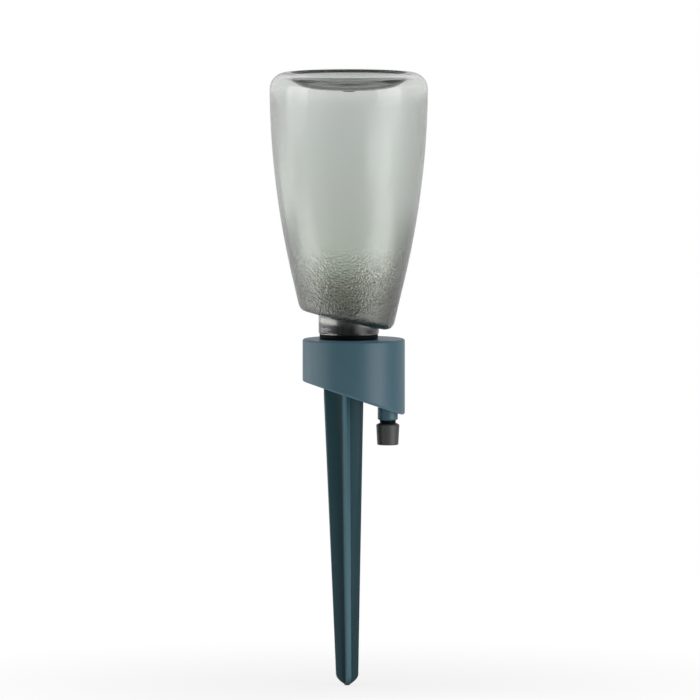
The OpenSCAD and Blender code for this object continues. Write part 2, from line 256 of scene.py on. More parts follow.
def arc(centre: tuple[float, float], radius: float, start: float, end: float, steps: int) -> Points:
    """Points of an arc in a plane, in degrees, both ends included."""
    turns = np.radians(np.linspace(start, end, steps + 1))
    return [(centre[0] + radius * math.cos(t), centre[1] + radius * math.sin(t)) for t in turns]


def smooth_step(value: float, low: float, high: float) -> float:
    """Rises smoothly from 0 at low to 1 at high."""
    share = min(max((value - low) / (high - low), 0.0), 1.0)
    return share * share * (3 - 2 * share)


def grain_group() -> Tree:
    """Builds the moulded grain that every opaque material shares.

    Returns:
        A shader group that puts out a soft tone, a roughness and the height of a fine grain.
    """
    tree, source, target = new_group(
        "MouldedGrain", "ShaderNodeTree",
        {"Grain Size": ("NodeSocketFloat", 0.4), "Flow Size": ("NodeSocketFloat", 30.0),
         "Roughness": ("NodeSocketFloat", 0.4), "Roughness Spread": ("NodeSocketFloat", 0.05)},
        {"Tone": "NodeSocketFloat", "Roughness": "NodeSocketFloat", "Height": "NodeSocketFloat"})
    place = put(tree, "ShaderNodeTexCoord").outputs["Object"]
    grain_scale = math_node(tree, "DIVIDE", 1 / MM, source["Grain Size"])
    flow_scale = math_node(tree, "DIVIDE", 1 / MM, source["Flow Size"])
    grain = put(tree, "ShaderNodeTexNoise", {"Vector": place, "Scale": grain_scale, "Detail": 2.0})
    flow = put(tree, "ShaderNodeTexNoise", {"Vector": place, "Scale": flow_scale, "Detail": 3.0})
    offset = math_node(tree, "SUBTRACT", flow.outputs["Fac"], NOISE_MIDDLE)
    spread = math_node(tree, "MULTIPLY", offset, source["Roughness Spread"])
    rough = math_node(tree, "ADD", source["Roughness"], spread)
    tree.links.new(flow.outputs["Fac"], target.inputs["Tone"])
    tree.links.new(rough, target.inputs["Roughness"])
    tree.links.new(grain.outputs["Fac"], target.inputs["Height"])
    return tree


def new_material(name: str) -> tuple:
    """Starts a material.

    Args:
        name: the material's name.

    Returns:
        The material, its tree and its Principled shader.
    """
    material = bpy.data.materials.new(name)
    material.use_nodes = True
    tree = material.node_tree
    return material, tree, tree.nodes["Principled BSDF"]


@dataclass(frozen=True)
class MouldedFinish:
    """An opaque moulded surface: plastic or rubber with grain and slow changes of tone, and on the spike a
    painted highlight on the noses of its front and back wings.

    The sizes of the grain and of the changes of tone, and the grain's depth, are in millimetres.
    """

    name: str
    dark: Colour
    light: Colour
    roughness: float
    skin: Skin = Skin.SATIN_PLASTIC
    grain_size: float = 0.35
    grain_depth: float = 0.01
    grain_strength: float = 0.6
    flow_size: float = 25.0
    roughness_spread: float = 0.12
    # Painted highlight: a lighter colour painted on the noses of a spike's front and back wings, and the mask
    # that places it.
    painted_highlight: Colour | None = None
    rib_half: tuple[float, float] = (6 * MM, 10.75 * MM)
    rib_top_z: float = 156.5 * MM
    highlight_share: tuple[float, float] = (0.25, 0.95)

    def material(self, grain: Tree) -> bpy.types.Material:
        """Builds the material.

        Args:
            grain: the shared grain group.

        Returns:
            The finished material.
        """
        material, tree, shader = new_material(self.name)
        speck = put(tree, "ShaderNodeGroup", {
            "Grain Size": self.grain_size, "Flow Size": self.flow_size, "Roughness": self.roughness,
            "Roughness Spread": self.roughness_spread}, node_tree=grain)
        tone = mix_colours(tree, speck.outputs["Tone"], (*self.dark, 1), (*self.light, 1))
        # Painted highlight: the noses of the front and back wings are painted lighter, as if they caught the
        # light.
        if self.painted_highlight:
            tone = mix_colours(tree, self.highlight_mask(tree), tone, (*self.painted_highlight, 1))
        bump = put(tree, "ShaderNodeBump", {
            "Height": speck.outputs["Height"], "Strength": self.grain_strength,
            "Distance": self.grain_depth * MM})
        tree.links.new(tone, shader.inputs["Base Color"])
        tree.links.new(speck.outputs["Roughness"], shader.inputs["Roughness"])
        tree.links.new(bump.outputs["Normal"], shader.inputs["Normal"])
        shader.inputs["Specular IOR Level"].default_value = self.skin.value
        return material

    def highlight_mask(self, tree: Tree) -> Socket:
        """Masks the noses of a spike's front and back wings, where a highlight is painted.

        Args:
            tree: the material's tree.

        Returns:
            A mask that rises to 1 at those noses.
        """
        place = put(tree, "ShaderNodeTexCoord").outputs["Object"]
        parts = put(tree, "ShaderNodeSeparateXYZ", {0: place}).outputs
        half = ranged(tree, parts["Z"], 0.0, self.rib_top_z, *self.rib_half)
        reach = math_node(tree, "DIVIDE", math_node(tree, "ABSOLUTE", parts["Y"]), half)
        return ranged(tree, reach, *self.highlight_share, soft=True)


@dataclass(frozen=True)
class SmokeFinish:
    """The bottle's smoky plastic: hammered and painted a darker olive at the shoulder as painted shade, pale
    and milky at the foot.

    Each stop is a height over the tip of the spike and the tint that light takes at each wall; towards the
    shoulder the tint is painted darker and more olive, a painted shade for the dark collar seen through the
    wall. The relief is a depth in metres, and rest_relief the share of it that stays where nothing is
    hammered.
    """

    name: str = "smoke_plastic"
    # Painted shade: the colours at the low heights are darker and olive towards the shoulder, for the dark
    # collar and refraction seen through the wall.
    tint_and_shade_stops: tuple = (
        (0.200, (0.205, 0.219, 0.168)), (0.212, (0.268, 0.284, 0.228)), (0.223, (0.465, 0.500, 0.438)),
        (0.234, (0.615, 0.650, 0.605)), (0.260, (0.645, 0.672, 0.640)), (0.287, (0.662, 0.688, 0.662)),
        (0.313, (0.695, 0.717, 0.700)), (0.322, (0.800, 0.815, 0.800)),
    )
    neck_tint: Colour = (0.690, 0.690, 0.660)
    # Painted shade: the wall of the foot's dish, inside the given radii and above the given height, is
    # painted darker.
    dish_shade: float = 0.74
    dish_r: tuple[float, float] = (0.033, 0.037)
    dish_low_z: float = 0.31
    milky_z: float = 0.313
    clear_z: float = 0.322
    neck_r: float = 0.0166
    neck_top_z: float = 0.2015
    # Painted shade: between these heights the wall is painted darker near its outline, partly for the longer
    # path through the smoky wall, mostly standing in for dark refraction at the edges.
    shade_low_z: float = 0.228
    shade_high_z: float = 0.268
    hammer_low_z: float = 0.222
    hammer_high_z: float = 0.248
    # Painted sparkle: between these heights the dimple centres are painted lighter and their borders darker,
    # standing in for glints and dark specks of light through the hammered wall.
    sparkle_low_z: float = 0.200
    sparkle_high_z: float = 0.240
    cell: float = 0.0013
    cell_smoothness: float = 0.3
    painted_sparkle: float = 1.3
    sparkle_level: float = 0.42
    rim_facing: tuple[float, float] = (0.25, 0.65)
    edge_shade: float = 0.75
    relief: float = 0.00025
    rest_relief: float = 0.01
    glint_relief: float = 0.0006
    glint_roughness: float = 0.1
    glint_ior: float = 1.6
    clear_roughness: float = 0.05
    neck_roughness: float = 0.24
    milky_roughness: float = 0.24
    hammer_roughness: float = 0.16
    ior: float = 1.5

    def material(self) -> bpy.types.Material:
        """Builds the material, with its tint and its painted shade changing along the bottle's height.

        Returns:
            The finished material.
        """
        material, tree, shader = new_material(self.name)
        place = put(tree, "ShaderNodeTexCoord").outputs["Object"]
        parts = put(tree, "ShaderNodeSeparateXYZ", {0: place}).outputs
        height = parts["Z"]
        across = put(tree, "ShaderNodeCombineXYZ", {0: parts["X"], 1: parts["Y"]}).outputs["Vector"]
        radius = put(tree, "ShaderNodeVectorMath", {0: across}, operation="LENGTH").outputs["Value"]
        narrow = math_node(tree, "LESS_THAN", radius, self.neck_r)
        neck = math_node(tree, "MULTIPLY", narrow, math_node(tree, "LESS_THAN", height, self.neck_top_z))
        hammer = ranged(tree, height, self.hammer_high_z, self.hammer_low_z, soft=True)
        hammer = math_node(tree, "MULTIPLY", hammer, math_node(tree, "SUBTRACT", 1.0, neck))
        cells = put(tree, "ShaderNodeTexVoronoi", {
            "Vector": place, "Scale": 1 / self.cell, "Smoothness": self.cell_smoothness,
            "Randomness": 1.0}, feature="SMOOTH_F1").outputs["Distance"]
        relief = math_node(tree, "MULTIPLY_ADD", hammer, self.relief, self.relief * self.rest_relief)
        bump = put(tree, "ShaderNodeBump", {"Height": cells, "Distance": relief})
        glint = put(tree, "ShaderNodeBump", {"Height": cells, "Distance": self.glint_relief})
        tree.links.new(self.tint(tree, height, radius, neck, cells), shader.inputs["Base Color"])
        tree.links.new(self.blur(tree, height, neck, hammer), shader.inputs["Roughness"])
        tree.links.new(bump.outputs["Normal"], shader.inputs["Normal"])
        tree.links.new(hammer, shader.inputs["Coat Weight"])
        tree.links.new(glint.outputs["Normal"], shader.inputs["Coat Normal"])
        shader.inputs["Coat Roughness"].default_value = self.glint_roughness
        shader.inputs["Coat IOR"].default_value = self.glint_ior
        shader.inputs["Transmission Weight"].default_value = 1.0
        shader.inputs["IOR"].default_value = self.ior
        return material

    def tint(self, tree: Tree, height: Socket, radius: Socket, neck: Socket, cells: Socket) -> Socket:
        """Tints the wall by its height, paints shade towards the shoulder, on the dish and at the rims, and
        paints sparkle on the hammering.

        Args:
            tree: the material's tree.
            height: height over the tip of the spike.
            radius: distance from the bottle's axis.
            neck: mask of the neck.
            cells: pattern of the hammering.

        Returns:
            The socket with the tint.
        """
        # The ramp is the smoke's tint, with painted shade at its low end: darker and olive towards the
        # shoulder.
        low, high = self.tint_and_shade_stops[0][0], self.tint_and_shade_stops[-1][0]
        ramp = put(tree, "ShaderNodeValToRGB", {"Fac": ranged(tree, height, low, high)})
        knots = ramp.color_ramp.elements
        knots[0].color = (*self.tint_and_shade_stops[0][1], 1)
        knots[1].color = (*self.tint_and_shade_stops[-1][1], 1)
        for level, colour in self.tint_and_shade_stops[1:-1]:
            knots.new((level - low) / (high - low)).color = (*colour, 1)
        # Painted shade: the foot's dish is painted darker.
        dish = ranged(tree, radius, self.dish_r[1], self.dish_r[0])
        dish = math_node(tree, "MULTIPLY", dish, math_node(tree, "GREATER_THAN", height, self.dish_low_z))
        dish = math_node(tree, "MULTIPLY_ADD", dish, self.dish_shade - 1, 1.0)
        # Painted sparkle: dimple centres painted lighter and their borders darker, as light through the
        # hammered wall would show.
        speck = math_node(tree, "SUBTRACT", self.sparkle_level, cells)
        speck = math_node(tree, "MULTIPLY", speck, self.painted_sparkle)
        sparkle_mask = ranged(tree, height, self.sparkle_high_z, self.sparkle_low_z, soft=True)
        speck = math_node(tree, "MULTIPLY", speck, sparkle_mask)
        # Painted shade near the outline: partly the longer path through the wall at grazing angles, mostly
        # standing in for dark refraction at the edges.
        facing = put(tree, "ShaderNodeLayerWeight", {"Blend": 0.5}).outputs["Facing"]
        rim = ranged(tree, facing, *self.rim_facing, 0.0, self.edge_shade)
        shaded = ranged(tree, height, self.shade_high_z, self.shade_low_z, soft=True)
        rim = math_node(tree, "MULTIPLY", rim, shaded)
        change = math_node(tree, "SUBTRACT", math_node(tree, "ADD", speck, 1.0), rim)
        change = math_node(tree, "MULTIPLY", change, dish)
        body = mix_colours(tree, 1.0, ramp.outputs["Color"], change, "MULTIPLY")
        return mix_colours(tree, neck, body, (*self.neck_tint, 1))

    def blur(self, tree: Tree, height: Socket, neck: Socket, hammer: Socket) -> Socket:
        """Makes the side milky and the foot clear, with values of their own for shoulder and neck.

        Args:
            tree: the material's tree.
            height: height over the tip of the spike.
            neck: mask of the neck.
            hammer: mask of the hammering.

        Returns:
            The socket with the roughness.
        """
        blur = ranged(tree, height, self.milky_z, self.clear_z, self.milky_roughness, self.clear_roughness)
        blur = pick(tree, hammer, blur, self.hammer_roughness)
        return pick(tree, neck, blur, self.neck_roughness)


@dataclass
class Wardrobe:
    """All finishes of the object, each built once."""

    smoke: bpy.types.Material = field(init=False)
    collar: bpy.types.Material = field(init=False)
    spike: bpy.types.Material = field(init=False)
    knob: bpy.types.Material = field(init=False)
    black: bpy.types.Material = field(init=False)
    rubber: bpy.types.Material = field(init=False)

    def __post_init__(self) -> None:
        """Builds the materials."""
        grain = grain_group()
        self.smoke = SmokeFinish().material()
        self.collar = MouldedFinish(
            "collar_plastic", (0.046, 0.112, 0.148), (0.056, 0.130, 0.168), roughness=0.36).material(grain)
        # Painted shade: the spike is the collar's plastic, painted darker than the collar as if in shade; the
        # noses of its front and back wings carry a painted highlight.
        self.spike = MouldedFinish(
            "spike_plastic", (0.016, 0.054, 0.067), (0.022, 0.067, 0.082), roughness=0.36,
            skin=Skin.SOFT_PLASTIC, painted_highlight=(0.082, 0.170, 0.205)).material(grain)
        self.knob = MouldedFinish(
            "knob_plastic", (0.042, 0.045, 0.043), (0.056, 0.059, 0.056), roughness=0.4).material(grain)
        self.black = MouldedFinish(
            "black_plastic", (0.0015, 0.0022, 0.002), (0.003, 0.004, 0.004), roughness=0.55,
            skin=Skin.DULL_PLASTIC).material(grain)
        self.rubber = MouldedFinish(
            "black_rubber", (0.0012, 0.0016, 0.0015), (0.003, 0.0035, 0.0035), roughness=0.6,
            skin=Skin.RUBBER, grain_depth=0.02).material(grain)


@dataclass
class Bottle:
    """The upturned bottle, from its dished foot to its threaded neck, in metres and degrees."""

    wall: float = 1.8 * MM
    width: float = 85 * MM
    side_bow_r: float = 458 * MM
    side_bow_drop: float = 5 * MM
    side_taper: float = 13.4
    foot_round_r: float = 9 * MM
    foot_land_w: float = 1.5 * MM
    punt_depth: float = 7.5 * MM
    punt_round_r: float = 1.2 * MM
    dish_power: float = 4
    plug_seat_r: float = 5.7 * MM
    vent_r: float = 3.5 * MM
    shoulder_tilt: float = 13.3
    shoulder_h: float = 21.2 * MM
    shoulder_round_r: float = 5 * MM
    neck_r: float = 16.2 * MM
    throat_r: float = 14.4 * MM
    finish_r: float = 13.3 * MM
    finish_l: float = 14.5 * MM
    bore_r: float = 11.6 * MM
    edge_r: float = 0.5 * MM
    hammer_top: float = 72 * MM
    hammer_full: float = 30 * MM
    hammer_cell: float = 1.5 * MM
    hammer_depth: float = 0.28 * MM
    thread_start: float = 2 * MM
    thread_turns: float = 2.6
    columns: int = 400
    foot_steps: int = 14
    crest_steps: int = 5
    smooth_rows: int = 24
    hammer_rows: int = 124
    corner_steps: int = 7
    base_rows: int = 16
    neck_rows: int = 9
    finish_rows: int = 8
    inner_columns: int = 100
    inner_bore_rows: int = 7
    inner_throat_rows: int = 4
    inner_base_rows: int = 9
    inner_side_rows: int = 34
    inner_foot_steps: int = 12
    base_z: float = field(init=False)
    length: float = field(init=False)
    bow_x: float = field(init=False)
    bow_z: float = field(init=False)
    slope: float = field(init=False)
    round_x: float = field(init=False)
    round_a: float = field(init=False)
    dish_r: float = field(init=False)

    def __post_init__(self) -> None:
        """Works out the side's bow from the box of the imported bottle."""
        low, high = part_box("bottle")
        self.base_z = low.z
        self.length = high.z - low.z
        self.bow_x = self.width / 2 - self.side_bow_r
        self.bow_z = self.length - self.side_bow_drop
        self.slope = math.tan(math.radians(self.side_taper))
        round_z = self.length - self.foot_round_r
        arm = self.side_bow_r - self.foot_round_r
        self.round_x = self.bow_x + math.sqrt(arm ** 2 - (self.bow_z - round_z) ** 2)
        self.round_a = -math.degrees(math.asin((self.bow_z - round_z) / arm))
        self.dish_r = self.round_x - self.foot_land_w - self.punt_round_r

    def side_r(self, z: float, inset: float) -> float:
        """Finds the radius of the bottle's side.

        Args:
            z: height over the neck's end.
            inset: how far the outline lies within the outside.

        Returns:
            The radius there.
        """
        radius = self.side_bow_r - inset
        taper = math.radians(self.side_taper)
        end_z = self.bow_z - radius * math.sin(taper)
        if z > end_z:
            return self.bow_x + math.sqrt(radius ** 2 - (z - self.bow_z) ** 2)
        return self.bow_x + radius * math.cos(taper) - (end_z - z) * self.slope

    def dish_z(self, r: float) -> float:
        """Finds the height of the foot's dish.

        Args:
            r: distance from the axis.

        Returns:
            The height over the neck's end.
        """
        rise = (r - self.plug_seat_r) / (self.dish_r - self.plug_seat_r)
        low = self.length - self.punt_depth
        return low + (self.punt_depth - self.punt_round_r) * rise ** self.dish_power

    def foot(self, inset: float, steps: int) -> Points:
        """Draws the foot, from the vent hole to the start of the side.

        Args:
            inset: how far the outline lies within the outside.
            steps: how many steps the dish has.

        Returns:
            The outline's points.
        """
        low = self.length - self.punt_depth
        seats = np.linspace(self.plug_seat_r, self.dish_r, steps + 1)
        crest = (self.dish_r + self.punt_round_r, self.length - self.punt_round_r)
        outline = [(self.vent_r, low - inset)]
        outline += [(r, self.dish_z(r) - inset) for r in seats]
        outline += [(r, z - inset) for r, z in arc(crest, self.punt_round_r, 180, 90, self.crest_steps)[1:]]
        outline += arc((self.round_x, self.length - self.foot_round_r), self.foot_round_r - inset,
                       90, self.round_a, 2 * steps // 3)
        return outline

    def corner(self, turn: float, inset: float) -> tuple:
        """Draws the rounded edge between side and slanted shoulder, in the plane at one turn.

        Args:
            turn: angle about the bottle's axis, in radians, 0 towards the nozzle.
            inset: how far the outline lies within the outside.

        Returns:
            Points of the round from the side to the shoulder, and the shoulder's slope and height there.
        """
        tilt = math.radians(self.shoulder_tilt)
        fall = math.cos(turn) * math.tan(tilt)
        height = self.shoulder_h + inset / math.cos(tilt)
        foot_r = self.side_r(0, inset)
        corner_r = (foot_r + height * self.slope) / (1 + fall * self.slope)
        corner = Vector((corner_r, height - corner_r * fall))
        up = Vector((self.slope, 1)).normalized()
        along = Vector((-1, fall)).normalized()
        half = math.acos(up.dot(along)) / 2
        radius = self.shoulder_round_r - inset
        centre = corner + (up + along).normalized() * radius / math.sin(half)
        start = corner + up * radius / math.tan(half) - centre
        end = corner + along * radius / math.tan(half) - centre
        first = math.degrees(math.atan2(start.y, start.x))
        last = math.degrees(math.atan2(end.y, end.x))
        return arc(tuple(centre), radius, first, last, self.corner_steps), fall, height

    def outside(self, turn: float) -> tuple[Points, list[float]]:
        """Draws the outside at one turn, from the vent hole to the neck's end.

        Args:
            turn: angle about the bottle's axis, in radians, 0 towards the nozzle.

        Returns:
            The outline's points, and how strongly each is hammered.
        """
        edge, fall, height = self.corner(turn, 0)
        foot = self.foot(0, self.foot_steps)
        smooth_z = np.linspace(foot[-1][1], self.hammer_top, self.smooth_rows)[1:]
        rough_z = np.linspace(self.hammer_top, edge[0][1], self.hammer_rows)[1:-1]
        side = [(self.side_r(z, 0), z) for z in (*smooth_z, *rough_z)]
        base_r = np.linspace(edge[-1][0], self.neck_r + self.edge_r, self.base_rows)[1:]
        base = [(r, height - r * fall) for r in base_r]
        neck_top = height - self.neck_r * fall - self.edge_r
        neck_z = np.linspace(neck_top, self.finish_l + self.edge_r, self.neck_rows)
        neck = [(self.neck_r, z) for z in neck_z]
        step = [(self.neck_r - self.edge_r, self.finish_l), (self.finish_r, self.finish_l)]
        finish_z = np.linspace(self.finish_l, self.edge_r, self.finish_rows)[1:]
        finish = [(self.finish_r, z) for z in finish_z]
        lip = [(self.finish_r - self.edge_r, 0), (self.bore_r + self.edge_r, 0)]
        outline = foot + side + edge + base + neck + step + finish + lip
        first, last = len(foot), len(foot) + len(side) + len(edge) + len(base)
        weights = [1 - smooth_step(z, self.hammer_full, self.hammer_top) if first <= i < last - 1 else 0.0
                   for i, (_, z) in enumerate(outline)]
        return outline, weights

    def inside(self, turn: float) -> Points:
        """Draws the inside at one turn, from the neck's end to the vent hole.

        Args:
            turn: angle about the bottle's axis, in radians, 0 towards the nozzle.

        Returns:
            The outline's points.
        """
        edge, fall, height = self.corner(turn, self.wall)
        throat_z = self.finish_l + self.wall
        bore = [(self.bore_r, z) for z in np.linspace(self.edge_r, throat_z, self.inner_bore_rows)]
        cone_z = throat_z + self.throat_r - self.bore_r
        root_z = height - self.throat_r * fall
        throat = [(self.throat_r, z) for z in np.linspace(cone_z, root_z, self.inner_throat_rows)]
        base_r = np.linspace(self.throat_r, edge[-1][0], self.inner_base_rows)[1:-1]
        base = [(r, height - r * fall) for r in base_r]
        foot = self.foot(self.wall, self.inner_foot_steps)[::-1]
        side_z = np.linspace(edge[0][1], foot[0][1], self.inner_side_rows)[1:-1]
        side = [(self.side_r(z, self.wall), z) for z in side_z]
        return bore + throat + base + edge[::-1] + side + foot

    def shell(self) -> bpy.types.Mesh:
        """Builds the closed wall of the bottle.

        Returns:
            A mesh with a point attribute that says how strongly each place is hammered.
        """
        share = self.columns // self.inner_columns
        turns = np.linspace(0, 2 * math.pi, self.columns, endpoint=False)
        points, weights = [], []
        for turn in turns:
            outline, hammer = self.outside(turn)
            points += [(r * math.cos(turn), r * math.sin(turn), z + self.base_z) for r, z in outline]
            weights += hammer
        rows = len(outline)
        outer = np.arange(self.columns * rows).reshape(self.columns, rows)
        start = len(points)
        for turn in turns[::share]:
            lining = self.inside(turn)
            points += [(r * math.cos(turn), r * math.sin(turn), z + self.base_z) for r, z in lining]
        weights += [0.0] * (len(points) - start)
        lines = len(lining)
        inner = start + np.arange(self.inner_columns * lines).reshape(self.inner_columns, lines)
        faces = []
        for grid in (outer, inner):
            here, there = grid, np.roll(grid, -1, axis=0)
            quads = np.stack([here[:, :-1], here[:, 1:], there[:, 1:], there[:, :-1]], axis=-1)
            faces += quads.reshape(-1, 4).tolist()
        for column in range(self.inner_columns):
            following = (column + 1) % self.inner_columns
            fan = [int(outer[(column * share + i) % self.columns, -1]) for i in range(share + 1)]
            faces.append([*fan, int(inner[following, 0]), int(inner[column, 0])])
            fan = [int(outer[(column * share + i) % self.columns, 0]) for i in range(share + 1)]
            faces.append([*fan[::-1], int(inner[column, -1]), int(inner[following, -1])])
        mesh = bpy.data.meshes.new("bottle_shell")
        mesh.from_pydata(points, [], faces)
        attribute = mesh.attributes.new("hammer", "FLOAT", "POINT")
        attribute.data.foreach_set("value", weights)
        model = bmesh.new()
        model.from_mesh(mesh)
        bmesh.ops.recalc_face_normals(model, faces=model.faces)
        model.to_mesh(mesh)
        model.free()
        return mesh

    def build(self, wardrobe: Wardrobe) -> list:
        """Makes the bottle and its thread.

        Args:
            wardrobe: the finishes.

        Returns:
            The pieces.
        """
        tree = hammered_skin_tree()
        glass = run_tree("hammered_bottle", tree, {
            "Cell": self.hammer_cell, "Depth": self.hammer_depth, "Material": wardrobe.smoke,
        }, self.shell())
        glass.visible_shadow = False
        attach(glass, "bottle")
        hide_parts("bottle")
        thread = Thread("bottle_thread", (0, 0), self.finish_r, self.base_z + self.thread_start,
                        self.thread_turns, BOTTLE_PITCH, BOTTLE_CREST, Side.OUTWARD).build(wardrobe.smoke)
        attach(thread, "bottle")
        return [glass, thread]


def close_tree(tree: Tree, shape: Socket, material: Socket, target: bpy.types.Node) -> None:
    """Ends a Geometry Nodes tree with Realize Instances and Set Material.

    Args:
        tree: the tree.
        shape: its geometry so far.
        material: the socket of the material.
        target: the tree's output node.
    """
    real = put(tree, "GeometryNodeRealizeInstances", {"Geometry": shape}).outputs["Geometry"]
    dressed = put(tree, "GeometryNodeSetMaterial", {"Geometry": real, "Material": material})
    tree.links.new(dressed.outputs["Geometry"], target.inputs["Geometry"])


def hammered_skin_tree() -> Tree:
    """Builds the tree that hammers a skin: soft-edged dimples pressed in along the normal.

    Returns:
        A Geometry Nodes group with the size and depth of the dimples and a material.
    """
    tree, source, target = new_group(
        "HammeredSkin", "GeometryNodeTree",
        {"Geometry": ("NodeSocketGeometry", None), "Cell": ("NodeSocketFloat", 0.002),
         "Depth": ("NodeSocketFloat", 0.0002), "Material": ("NodeSocketMaterial", None)},
        {"Geometry": "NodeSocketGeometry"})
    rest_level = 0.95
    weight = put(tree, "GeometryNodeInputNamedAttribute", {"Name": "hammer"}, data_type="FLOAT")
    scale = math_node(tree, "DIVIDE", 1.0, source["Cell"])
    cells = put(tree, "ShaderNodeTexVoronoi", {"Scale": scale, "Smoothness": 0.5, "Randomness": 0.9},
                feature="SMOOTH_F1")
    ripple = put(tree, "ShaderNodeTexNoise", {"Scale": scale, "Detail": 1.0})
    level = math_node(tree, "ADD", cells.outputs["Distance"], ripple.outputs["Fac"])
    level = math_node(tree, "SUBTRACT", level, rest_level)
    depth = math_node(tree, "MULTIPLY", source["Depth"], weight.outputs["Attribute"])
    amount = math_node(tree, "MULTIPLY", level, depth)
    normal = put(tree, "GeometryNodeInputNormal").outputs["Normal"]
    push = put(tree, "ShaderNodeVectorMath", {0: normal, "Scale": amount}, operation="SCALE")
    moved = put(tree, "GeometryNodeSetPosition", {"Geometry": source["Geometry"],
                                                  "Offset": push.outputs["Vector"]})
    close_tree(tree, moved.outputs["Geometry"], source["Material"], target)
    return tree


def thread_tree() -> Tree:
    """Builds the tree that winds a screw thread with tapered ends.

    Returns:
        A Geometry Nodes group with the thread's radius, turns, pitch, crest height and material.
    """
    tree, source, target = new_group(
        "ScrewThread", "GeometryNodeTree",
        {"Geometry": ("NodeSocketGeometry", None), "Radius": ("NodeSocketFloat", 0.01),
         "Turns": ("NodeSocketFloat", 3.0), "Pitch": ("NodeSocketFloat", 0.004),
         "Crest": ("NodeSocketFloat", 0.001), "Centre": ("NodeSocketVector", None),
         "Material": ("NodeSocketMaterial", None)},
        {"Geometry": "NodeSocketGeometry"})
    height = math_node(tree, "MULTIPLY", source["Turns"], source["Pitch"])
    line = put(tree, "GeometryNodeCurveSpiral", {
        "Resolution": 64, "Rotations": source["Turns"], "Start Radius": source["Radius"],
        "End Radius": source["Radius"], "Height": height})
    upright = put(tree, "GeometryNodeSetCurveNormal", {"Curve": line.outputs["Curve"]})
    share = put(tree, "GeometryNodeSplineParameter").outputs["Factor"]
    taper, thinnest = 0.08, 0.05
    rise = ranged(tree, share, 0.0, taper, soft=True)
    fall = ranged(tree, share, 1.0, 1.0 - taper, soft=True)
    swell = math_node(tree, "MAXIMUM", math_node(tree, "MULTIPLY", rise, fall), thinnest)
    sized = put(tree, "GeometryNodeSetCurveRadius", {"Curve": upright.outputs["Curve"], "Radius": swell})
    crest = put(tree, "GeometryNodeCurvePrimitiveCircle", {"Resolution": 10, "Radius": source["Crest"]})
    swept = put(tree, "GeometryNodeCurveToMesh", {"Curve": sized.outputs["Curve"],
                                                  "Profile Curve": crest.outputs["Curve"], "Fill Caps": True})
    placed = put(tree, "GeometryNodeTransform", {"Geometry": swept.outputs["Mesh"],
                                                 "Translation": source["Centre"]})
    close_tree(tree, placed.outputs["Geometry"], source["Material"], target)
    return tree


@dataclass
class Thread:
    """One screw thread, wound on a cylinder or in a bore."""

    name: str
    axis: tuple[float, float]
    radius: float
    start_z: float
    turns: float
    pitch: float
    crest: float
    side: Side
    sunk_share: float = 0.1

    def build(self, material: bpy.types.Material) -> bpy.types.Object:
        """Winds the thread, with its middle just under the surface of the wall that carries it.

        Args:
            material: its finish.

        Returns:
            The thread's piece.
        """
        tree = bpy.data.node_groups.get("ScrewThread") or thread_tree()
        radius = self.radius - self.side.value * self.sunk_share * self.crest
        return run_tree(self.name, tree, {
            "Radius": radius, "Turns": self.turns, "Pitch": self.pitch, "Crest": self.crest,
            "Centre": (*self.axis, self.start_z), "Material": material})


@dataclass
class Collar:
    """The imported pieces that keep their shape, and the threads of the socket and of the knob's bore."""

    socket_r: float = 14.6 * MM
    socket_start: float = 0.5 * MM
    socket_turns: float = 2.4
    knob_bore_r: float = 3.56 * MM
    knob_start: float = -3.8 * MM
    knob_turns: float = 2.2
    knob_pitch: float = 1.5 * MM
    knob_crest: float = 0.13 * MM

    def build(self, frame: dict, wardrobe: Wardrobe) -> list:
        """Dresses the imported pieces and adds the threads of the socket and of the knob's bore.

        Args:
            wardrobe: the finishes.

        Returns:
            The pieces.
        """
        finishes = {
            "collar": wardrobe.collar, "socket_deck": wardrobe.collar, "deck_seal": wardrobe.rubber,
            "inlet_strainer": wardrobe.black, "neck_gasket": wardrobe.rubber, "vent_plug": wardrobe.rubber,
            "valve_stem": wardrobe.black, "knob_seal": wardrobe.rubber, "drip_knob": wardrobe.knob,
        }
        for node, material in finishes.items():
            slots = frame["nodes"][node].data.materials
            slots.clear()
            slots.append(material)
        stem_low, stem_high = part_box("valve_stem")
        axis = ((stem_low.x + stem_high.x) / 2, 0)
        socket = Thread("socket_thread", (0, 0), self.socket_r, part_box("bottle")[0].z + self.socket_start,
                        self.socket_turns, BOTTLE_PITCH, BOTTLE_CREST, Side.INWARD).build(wardrobe.collar)
        knob = Thread("knob_thread", axis, self.knob_bore_r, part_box("knob_seal")[0].z + self.knob_start,
                      self.knob_turns, self.knob_pitch, self.knob_crest, Side.INWARD).build(wardrobe.knob)
        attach(socket, "base")
        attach(knob, "knob")
        return [socket, knob]


